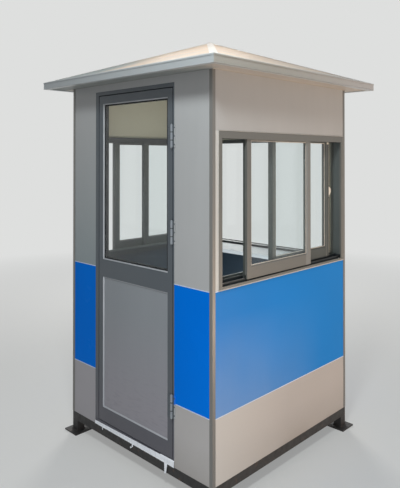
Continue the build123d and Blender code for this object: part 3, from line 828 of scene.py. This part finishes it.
for side, s in sides:
    gaskets(f"pane_outer_{side}", "x", s, silicone)
    gaskets(f"pane_inner_{side}", "x", s, silicone)
gaskets("pane_back", "y", 1, silicone)
gaskets("door_glass", "y", -1, rubber, door_bite, wedge_t, "door")

# %% [markdown]
# ## Door seal and hinge screws
# A rubber strip on the stop of the frame closes the gap behind the leaf. Each hinge wing is held by
# countersunk screws with a cross recess. One screw is turned from a short cylinder, its rim eased and
# the cross cut by a boolean, and then copied.

# %% Door seal
stop_gap = 0.005            # between the leaf's back and the stop
lip_in, lip_under = 0.001, 0.002        # inside the leaf's edges, and below its foot
lip_w, lip_h, lip_soft = 0.006, 0.0042, 0.0015
seal_at = ((leaf_low.x + leaf_high.x) / 2, leaf_high.y + stop_gap,
           (leaf_low.z - lip_under + leaf_high.z - lip_in) / 2)
door_seal = ring("door_seal", seal_at, leaf_high.x - leaf_low.x - 2 * lip_in,
                 leaf_high.z - lip_in - leaf_low.z + lip_under, "y", lip_w, lip_h, lip_soft)
settle(door_seal, rubber)

# %% One screw
screw_r, screw_h, rim = 0.0036, 0.0014, 0.0006
slot_long, slot_wide = 0.0024, 0.0005
take()
bpy.ops.mesh.primitive_cylinder_add(vertices=20, radius=screw_r, depth=screw_h,
                                    rotation=(radians(90), 0, 0))
screw = bpy.context.object
screw.name = "screw"
fix_place()
soften(screw, rim, lambda edge: middle(edge).y < -screw_h * 0.4 and edge.calc_face_angle() > 0.5)
for half_x, half_z in ((slot_long, slot_wide), (slot_wide, slot_long)):
    cutter = block("cutter", (-half_x, -screw_h, -half_z), (half_x, -screw_h * 0.1, half_z))
    take(screw)
    cut = screw.modifiers.new("cross", "BOOLEAN")
    cut.operation, cut.object, cut.solver = "DIFFERENCE", cutter, "EXACT"
    bpy.ops.object.modifier_apply(modifier="cross")
    bpy.data.objects.remove(cutter)
print("screw", len(screw.data.polygons), "faces")

# %% Hinge screws
wing_t, sunk, rise = 0.003, 0.0003, 0.044
leaf_outer, leaf_inner, frame_inner = 0.008, 0.019, 0.007      # columns, from the wing's edge
screw_y = -wall_y - wing_t - screw_h / 2 + sunk
for index in (1, 2, 3):
    for half, body in (("leaf", "door"), ("frame", "booth")):
        low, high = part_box(f"hinge_{index}_{half}")
        if half == "leaf":
            outer, inner = low.x + leaf_outer, low.x + leaf_inner
            spots = [(outer, 1), (inner, 0.45), (outer, -1), (inner, -0.45), (outer, 0)]
        else:
            spots = [(high.x - frame_inner, up) for up in (1, 0, -1)]
        z = (low.z + high.z) / 2
        made = [twin(screw, "screw_copy", (x, screw_y, z + up * rise)) for x, up in spots]
        settle(join(made, f"hinge_{index}_{half}_screws"), screw_steel, body)
bpy.data.objects.remove(screw)

# %% [markdown]
# ## Welds
# The legs are welded to their foot plates and to the base frame. A small fillet runs round each
# tube: the same square frame, with its outer edge cut back to a slope.

# %% Welds
weld, tube, plate_t = 0.005, 0.05, 0.008
welds = []
for node in ("leg_front_right", "leg_front_left", "leg_back_right", "leg_back_left"):
    low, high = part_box(node)
    foot = ((low.x + high.x) / 2, (low.y + high.y) / 2, plate_t)
    welds.append(ring("weld", foot, tube + 2 * weld, tube + 2 * weld, "z", weld - 0.0002, weld, weld * 0.8))
settle(join(welds, "leg_welds"), base_paint)

# %% [markdown]
# ## Film on the threshold
# The threshold still has its white protective film. It is loose, so it has small upright creases, and
# three strips of it hang down. It was cut by hand and tapers to the left. A fine grid is tapered,
# folded back along its top, displaced by a soft noise and given the thickness of the film.

# %% Threshold film
film_front, film_z, film_h = sill_low.y - 0.0022, sill_low.z + 0.015, 0.033
left_share, taper_reach = 0.62, 0.64
fold_z, fold_move = sill_low.z + 0.0305, (0, 0.003, 0.001)
take()
bpy.ops.mesh.primitive_grid_add(x_subdivisions=160, y_subdivisions=8, size=1, rotation=(radians(90), 0, 0),
                                location=((sill_low.x + sill_high.x) / 2, film_front, film_z))
film = bpy.context.object
film.name = "threshold_film"
film.scale = (sill_high.x - sill_low.x, film_h, 1)
fix_place()
edit()
pick("EDGE", lambda edge: middle(edge).x < sill_low.x + 0.001)
bpy.ops.transform.resize(value=(1, 1, left_share), center_override=(sill_low.x, film_front, sill_low.z),
                         use_proportional_edit=True, proportional_edit_falloff="LINEAR",
                         proportional_size=taper_reach)
pick("EDGE", lambda edge: middle(edge).z > fold_z)
bpy.ops.transform.translate(value=fold_move)
edit(False)
creases = bpy.data.textures.new("creases", "CLOUDS")
creases.noise_scale, creases.noise_depth = 0.014, 2
crumple = film.modifiers.new("crumple", "DISPLACE")
crumple.texture, crumple.texture_coords = creases, "GLOBAL"
crumple.strength, crumple.mid_level = 0.0032, 0.5
bpy.ops.object.modifier_apply(modifier="crumple")
thicken(film, 0.0004, 1)
bpy.ops.object.shade_smooth_by_angle(angle=radians(40))
settle(film, film_white)

# %% Hanging strips of film
tab_out, tab_z, tab_h = 0.0016, 0.006, 0.010


def film_tab(name, x, steps, width, narrowing=1.0):
    """A strip that hangs from the film: an edge extruded down in steps of x, y, z and turn."""
    take()
    bpy.ops.mesh.primitive_plane_add(size=1, location=(x, film_front - tab_out, sill_low.z + tab_z),
                                     rotation=(radians(90), 0, 0))
    tab = bpy.context.object
    tab.name = name
    tab.scale = (width, tab_h, 1)
    fix_place()
    edit()
    pick("EDGE", lambda edge: max(vert.co.z for vert in edge.verts) < sill_low.z + tab_z - tab_h / 2 + hair)
    for step_x, step_y, step_z, twist in steps:
        bpy.ops.mesh.extrude_region_move(TRANSFORM_OT_translate={"value": (step_x, step_y, step_z)})
        ends = [vert for vert in bmesh.from_edit_mesh(tab.data).verts if vert.select]
        pivot = sum((vert.co for vert in ends), Vector()) / len(ends)
        bpy.ops.transform.resize(value=(narrowing, 1, 1), center_override=pivot)
        bpy.ops.transform.rotate(value=radians(twist), orient_axis="Y", center_override=pivot)
    edit(False)
    thicken(tab, 0.0005, 0)
    soft = tab.modifiers.new("soft", "SUBSURF")
    soft.levels = soft.render_levels = 2
    bpy.ops.object.modifier_apply(modifier="soft")
    bpy.ops.object.shade_smooth()
    settle(tab, film_white)


film_tab("film_tab_1", -0.284, [(0.002, -0.001, -0.009, 6), (-0.002, 0.002, -0.009, -8)], 0.007)
film_tab("film_tab_2", -0.004, [(0.001, -0.001, -0.010, 8), (-0.003, -0.002, -0.009, 24),
                                (-0.009, 0.001, -0.004, 34), (-0.010, 0.001, 0.001, 30)], 0.012)
film_tab("film_tab_3", 0.270, [(0.002, -0.003, -0.014, -6), (0.001, -0.002, -0.016, 2),
                               (-0.002, 0.001, -0.014, 8), (-0.005, 0.002, -0.012, 14)], 0.026, 0.84)

# %% [markdown]
# ## Worktop edge and sash details
# The worktop's front edge has a glued white band with a dark shadow gap under it. Each inner sash
# carries a small white block at its top far corner that stops it from being lifted out, and a strip
# of brush pile along its closing edge against draughts. Extruded stiles aren't plain either: a low
# rib runs up the outer face beside the glass.

# %% Worktop edge
edge_end, edge_t, edge_h, edge_proud = 0.004, 0.0015, 0.024, 0.0003
low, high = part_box("worktop")
edging = block("worktop_edge", (low.x + edge_end, low.y - edge_t, high.z - edge_h),
               (high.x - edge_end, low.y, high.z + edge_proud))
soften(edging, 0.0007, lambda edge: middle(edge).y < low.y - 0.001)
settle(edging, edge_band)

# %% Lift stops, brush pile and ribs
frame_proud, inner_depth = 0.004, 0.040     # from the wall's skin out, and back in to the inner sash
window_h, head_lip = 0.780, 0.036
stop_w, stop_h, stop_t, stop_in = 0.014, 0.012, 0.003, 0.007
pile_w, pile_t, pile_foot, pile_head, pile_gap = 0.005, 0.0035, 0.022, 0.016, 0.004
stile_w, rib_w, rib_t, rib_in = 0.033, 0.004, 0.0016, 0.001
stop_z = sheet_high.z + window_h - head_lip - 0.001
for side, s in sides:
    low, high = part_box(f"sash_inner_{side}")
    face_x = s * (wall_x + frame_proud - inner_depth)
    x0, x1 = sorted((face_x, face_x + s * stop_t))
    stop = block(f"lift_stop_{side}", (x0, high.y - stop_w - stop_in, stop_z - stop_h),
                 (x1, high.y - stop_in, stop_z))
    soften(stop, 0.001, lambda edge: abs(middle(edge).x) > abs(face_x) + 0.001)
    settle(stop, latch_plastic)

    x0, x1 = sorted((face_x, face_x - s * pile_w))
    latch_low, latch_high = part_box(f"latch_{side}")
    spans = ((low.z + pile_foot, latch_low.z - pile_gap), (latch_high.z + pile_gap, high.z - pile_head))
    made = [block("pile", (x0, high.y, z0), (x1, high.y + pile_t, z1)) for z0, z1 in spans]
    pile = join(made, f"brush_pile_{side}")
    soften(pile, 0.0012, lambda edge: middle(edge).y > high.y + pile_t - hair)
    settle(pile, brush_pile)

    rib_y = high.y - stile_w + rib_in
    x0, x1 = sorted((face_x, face_x + s * rib_t))
    rib = block(f"stile_rib_{side}", (x0, rib_y, low.z + rib_in), (x1, rib_y + rib_w, high.z - rib_in))
    soften(rib, 0.0007, lambda edge: abs(middle(edge).x) > abs(face_x) + rib_t - hair)
    settle(rib, window_paint)

# %% [markdown]
# ## Studio
# A pale floor and a pale world fill the shadows evenly. The floor fades into the background colour,
# which only the rays that show the background see, so it adds no light to the booth.

# %% The colour that is seen behind the booth
def seen_ray(finish):
    """1 for the rays that show the background, in the picture, in metal and through glass."""
    rays = add_node(finish, "ShaderNodeLightPath", {}).outputs
    direct = add_node(finish, "ShaderNodeMath", {0: rays["Is Camera Ray"], 1: rays["Is Glossy Ray"]},
                      operation="MAXIMUM")
    shown = add_node(finish, "ShaderNodeMath", {0: direct.outputs["Value"], 1: rays["Is Transmission Ray"]},
                     operation="MAXIMUM")
    return shown.outputs["Value"]


bpy.context.scene.view_settings.view_transform = "Standard"
backdrop_colour = tone(222, 223, 222)

# %% Floor
take()
bpy.ops.mesh.primitive_circle_add(vertices=64, radius=30, fill_type="NGON")
floor = bpy.context.object
floor.name = "studio_floor"
floor_finish = coat("studio_floor", tone(218, 218, 215), drift=0.01, roughness=0.9, scale=0.4, specular=0.0,
                    skin_depth=0.0)
floor.data.materials.append(floor_finish)
near_share, fade_start, fade_end = 0.4, 2.0, 7.0
reach = add_node(floor_finish, "ShaderNodeVectorMath", {0: place(floor_finish)}, operation="LENGTH")
fade = spread(floor_finish, reach.outputs["Value"], near_share, 1.0, fade_start, fade_end)
plain = add_node(floor_finish, "ShaderNodeEmission", {"Color": backdrop_colour, "Strength": 1.0})
lit = floor_finish.node_tree.nodes["Principled BSDF"]
faded = add_node(floor_finish, "ShaderNodeMixShader",
                 {0: times(floor_finish, fade, seen_ray(floor_finish)), 1: lit.outputs["BSDF"],
                  2: plain.outputs["Emission"]})
floor_finish.node_tree.links.new(faded.outputs["Shader"],
                                 floor_finish.node_tree.nodes["Material Output"].inputs["Surface"])
print("floor fades from", fade_start, "to", fade_end, "m")

# %% World
world = bpy.data.worlds.new("studio")
bpy.context.scene.world = world
world.use_nodes = True
seen = add_node(world, "ShaderNodeBackground", {"Color": backdrop_colour, "Strength": 1.0})
fill = world.node_tree.nodes["Background"]
fill.inputs["Color"].default_value = tone(238, 242, 248)
fill.inputs["Strength"].default_value = 0.22
choice = add_node(world, "ShaderNodeMixShader", {0: seen_ray(world), 1: fill.outputs["Background"],
                                                 2: seen.outputs["Background"]})
world.node_tree.links.new(choice.outputs["Shader"], world.node_tree.nodes["World Output"].inputs["Surface"])
print("world", world.name)

# %% [markdown]
# ## Lamps
# The key lamp stands high to the right of the door face, so that the eave draws its shadow over the
# top of that face, and a weak lamp low at the near corner lightens what it leaves dark. A warm lamp
# lies low beside the window face and lights the soffit from below. The back lamp shines through the
# back window onto the worktop, and two small ones reach the room and the space under the worktop. The
# last, weak and warm, hangs close over the roof. The two low lamps would draw their edges on the
# floor, so light linking keeps them off it.

# %% Lamps
off_floor = bpy.data.collections.new("off_floor")
off_floor.objects.link(floor)
off_floor.collection_objects[0].light_linking.link_state = "EXCLUDE"


def soft_lamp(name, at, towards, size, power, colour, lights_floor=True):
    """A square lamp that looks at a point and isn't itself seen."""
    data = bpy.data.lights.new(name, "AREA")
    data.shape, data.size, data.energy, data.color = "SQUARE", size, power, colour
    lamp = bpy.data.objects.new(name, data)
    bpy.context.scene.collection.objects.link(lamp)
    lamp.location = at
    lamp.rotation_euler = (Vector(towards) - Vector(at)).to_track_quat("-Z", "Y").to_euler()
    lamp.visible_camera = lamp.visible_transmission = False
    if not lights_floor:
        lamp.light_linking.receiver_collection = off_floor


soft_lamp("key_lamp", (1.45, -1.9, 3.32), (0.3, -0.6, 1.0), 0.45, 45, (0.94, 0.99, 1.0))
soft_lamp("corner_lamp", (1.6, -2.2, 0.5), (0.4, -0.6, 0.5), 1.0, 16, (0.98, 0.98, 1.0), False)
soft_lamp("low_lamp", (2.4, 0.6, 0.12), (0.95, 0.75, 2.3), 2.2, 98, (1.0, 0.74, 0.55), False)
soft_lamp("back_lamp", (-3.4, 3.4, 3.0), (0.0, 0.3, 1.3), 1.6, 140, (1.0, 0.99, 0.97))
soft_lamp("room_lamp", (0.0, -0.1, 2.06), (0.0, 0.0, 0.0), 0.6, 0.6, (1.0, 0.99, 0.97))
soft_lamp("knee_lamp", (0.0, 0.0, 0.5), (0.0, 0.56, 0.7), 0.5, 5, (0.9, 0.97, 1.0))
soft_lamp("roof_lamp", (0.42, -0.38, 3.0), (0.34, -0.34, 2.35), 0.4, 2.0, (1.0, 0.74, 0.52))
print("lamps", [lamp.name for lamp in bpy.data.lights])
